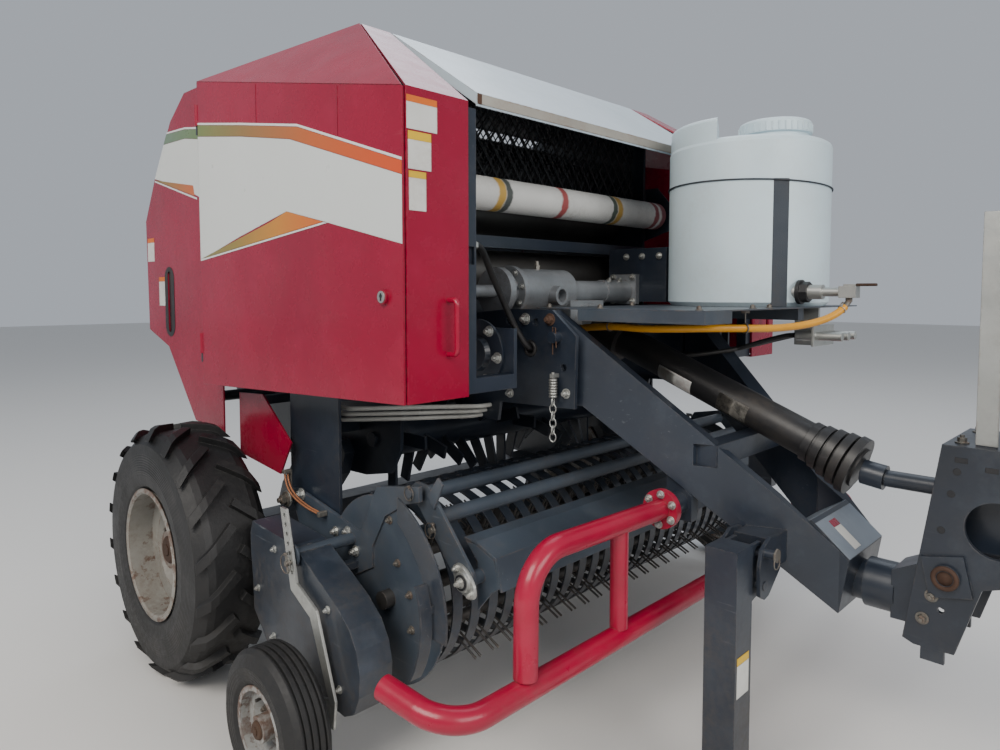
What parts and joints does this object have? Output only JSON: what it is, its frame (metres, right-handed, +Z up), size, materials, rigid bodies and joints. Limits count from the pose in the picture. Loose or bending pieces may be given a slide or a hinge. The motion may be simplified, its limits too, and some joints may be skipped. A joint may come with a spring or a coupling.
{
  "type": "round baler",
  "caption": "Trailed fixed-chamber round baler with wide tine pickup, net roll, lifting tailgate, liquid tank and swivel hitch head.",
  "frame": {"origin": "on the ground under the middle of the whole machine's box", "axes": "+Z up, -Y forward to the tractor, +X the machine's left"},
  "size_m": [2.502, 3.249, 2.086],
  "materials": {
    "red_paint": "gloss paint, worn",
    "grey_paint": "satin paint, dirty",
    "white_paint": "gloss paint",
    "bare_steel": "worn bare steel",
    "zinc_steel": "zinc plated",
    "black_plastic": "moulded",
    "tank_plastic": "translucent moulded",
    "net_film": "wound net",
    "hose_yellow": "coiled hose",
    "black_paint": "wire",
    "tyre_rubber": "moulded rubber",
    "rim_paint": "chipped and rusty",
    "cast": "oily casting"
  },
  "bodies": {
    "chassis": {"chamber_walls": "grey_paint", "axle_beam": "grey_paint", "front_rollers": "bare_steel", "net_grille": "black_paint", "fixed_covers": "red_paint", "gearbox": "cast", "drawbar": "grey_paint", "platform": "grey_paint", "tank": "tank_plastic", "hose_fittings": "zinc_steel", "tank_hose": "hose_yellow", "pipes": "white_paint", "spring_chain": "zinc_steel", "crop_guard": "red_paint"},
    "feed_rotor": {"feed_rotor": "grey_paint"},
    "net_roll": {"net_roll": "net_film"},
    "hood": {"hood": "white_paint"},
    "door_right": {"side_door_right": "red_paint"},
    "door_left": {"side_door_left": "red_paint"},
    "tailgate": {"tail_frame": "grey_paint", "tail_rollers": "bare_steel", "tail_covers": "red_paint"},
    "gate_barrel_right": {"gate_barrel_right": "grey_paint"},
    "gate_barrel_left": {"gate_barrel_left": "grey_paint"},
    "gate_rod_right": {"gate_rod_right": "zinc_steel"},
    "gate_rod_left": {"gate_rod_left": "zinc_steel"},
    "pickup": {"pickup_frame": "grey_paint", "pickup_shields": "grey_paint", "pickup_bands": "grey_paint", "gauge_bars": "zinc_steel"},
    "reel": {"pickup_reel": "zinc_steel"},
    "windguard": {"windguard": "grey_paint"},
    "power_shaft": {"power_shaft": "black_plastic"},
    "hitch_frame": {"swivel": "grey_paint", "hitch_box": "grey_paint"},
    "hitch_head": {"hitch_head": "grey_paint"},
    "stand": {"stand_leg": "grey_paint"},
    "gauge_right": {"gauge_tyre_right": "tyre_rubber", "gauge_rim_right": "rim_paint"},
    "gauge_left": {"gauge_tyre_left": "tyre_rubber", "gauge_rim_left": "rim_paint"},
    "wheel_right": {"tyre_right": "tyre_rubber", "rim_right": "rim_paint"},
    "wheel_left": {"tyre_left": "tyre_rubber", "rim_left": "rim_paint"}
  },
  "joints": [
    {"name": "wheel_right_spin", "type": "hinge", "parent": "chassis", "child": "wheel_right", "pos_m": [-1.085, 0.9005, 0.418], "axis": [1, 0, 0], "continuous": true},
    {"name": "wheel_left_spin", "type": "hinge", "parent": "chassis", "child": "wheel_left", "pos_m": [1.085, 0.9005, 0.418], "axis": [1, 0, 0], "continuous": true},
    {"name": "pickup_lift", "type": "hinge", "parent": "chassis", "child": "pickup", "pos_m": [0, 0.5375, 0.617], "axis": [-1, 0, 0], "range_deg": [0, 10]},
    {"name": "reel_spin", "type": "hinge", "parent": "pickup", "child": "reel", "pos_m": [0, 0.0385, 0.432], "axis": [1, 0, 0], "continuous": true},
    {"name": "windguard_swing", "type": "hinge", "parent": "pickup", "child": "windguard", "pos_m": [0, -0.0645, 0.748], "axis": [-1, 0, 0], "range_deg": [0, 20]},
    {"name": "gauge_right_spin", "type": "hinge", "parent": "pickup", "child": "gauge_right", "pos_m": [-1.19, 0.0905, 0.193], "axis": [1, 0, 0], "continuous": true},
    {"name": "gauge_left_spin", "type": "hinge", "parent": "pickup", "child": "gauge_left", "pos_m": [1.19, 0.0905, 0.193], "axis": [1, 0, 0], "continuous": true},
    {"name": "hood_lift", "type": "hinge", "parent": "chassis", "child": "hood", "pos_m": [0, 0.3045, 2.079], "axis": [-1, 0, 0], "range_deg": [0, 50]},
    {"name": "net_roll_spin", "type": "hinge", "parent": "chassis", "child": "net_roll", "pos_m": [0, 0.1435, 1.6], "axis": [1, 0, 0], "continuous": true},
    {"name": "door_right_swing", "type": "hinge", "parent": "chassis", "child": "door_right", "pos_m": [-1.003, 0.9175, 1.4], "axis": [0, 0, -1], "range_deg": [0, 90]},
    {"name": "door_left_swing", "type": "hinge", "parent": "chassis", "child": "door_left", "pos_m": [1.003, 0.9175, 1.4], "axis": [0, 0, 1], "range_deg": [0, 90]},
    {"name": "tailgate_lift", "type": "hinge", "parent": "chassis", "child": "tailgate", "pos_m": [0, 0.8705, 1.93], "axis": [1, 0, 0], "range_deg": [0, 60]},
    {"name": "gate_barrel_right_swing", "type": "hinge", "parent": "chassis", "child": "gate_barrel_right", "pos_m": [-0.765, 0.5705, 1], "axis": [1, 0, 0], "range_deg": [-2, 14]},
    {"name": "gate_barrel_left_swing", "type": "hinge", "parent": "chassis", "child": "gate_barrel_left", "pos_m": [0.765, 0.5705, 1], "axis": [1, 0, 0], "range_deg": [-2, 14]},
    {"name": "gate_rod_right_slide", "type": "slide", "parent": "gate_barrel_right", "child": "gate_rod_right", "axis": [0, 0.7625, 0.647], "range_m": [0, 0.46]},
    {"name": "gate_rod_left_slide", "type": "slide", "parent": "gate_barrel_left", "child": "gate_rod_left", "axis": [0, 0.7625, 0.647], "range_m": [0, 0.46]},
    {"name": "feed_rotor_spin", "type": "hinge", "parent": "chassis", "child": "feed_rotor", "pos_m": [0, 0.4605, 0.78], "axis": [1, 0, 0], "continuous": true},
    {"name": "stand_swing", "type": "hinge", "parent": "chassis", "child": "stand", "pos_m": [-0.33, -0.7295, 0.545], "axis": [0, -1, 0], "range_deg": [0, 90]},
    {"name": "hitch_roll", "type": "hinge", "parent": "chassis", "child": "hitch_frame", "pos_m": [0, -0.9655, 0.505], "axis": [0, 1, 0], "range_deg": [-15, 15]},
    {"name": "hitch_yaw", "type": "hinge", "parent": "hitch_frame", "child": "hitch_head", "pos_m": [0, -1.3345, 0.94], "axis": [0, 0, 1], "range_deg": [-60, 60]},
    {"name": "power_shaft_sway", "type": "hinge", "parent": "chassis", "child": "power_shaft", "pos_m": [0, -0.0245, 1.16], "axis": [0, 0, 1], "range_deg": [-5, 5]}
  ],
  "couplings": [
    {"joint": "gate_barrel_right_swing", "follows": "tailgate_lift", "ratio": 0.21},
    {"joint": "gate_barrel_left_swing", "follows": "tailgate_lift", "ratio": 0.21},
    {"joint": "gate_rod_right_slide", "follows": "tailgate_lift", "m_per_rad": 0.4385},
    {"joint": "gate_rod_left_slide", "follows": "tailgate_lift", "m_per_rad": 0.4385},
    {"joint": "power_shaft_sway", "follows": "hitch_roll", "ratio": 0.3112}
  ]
}
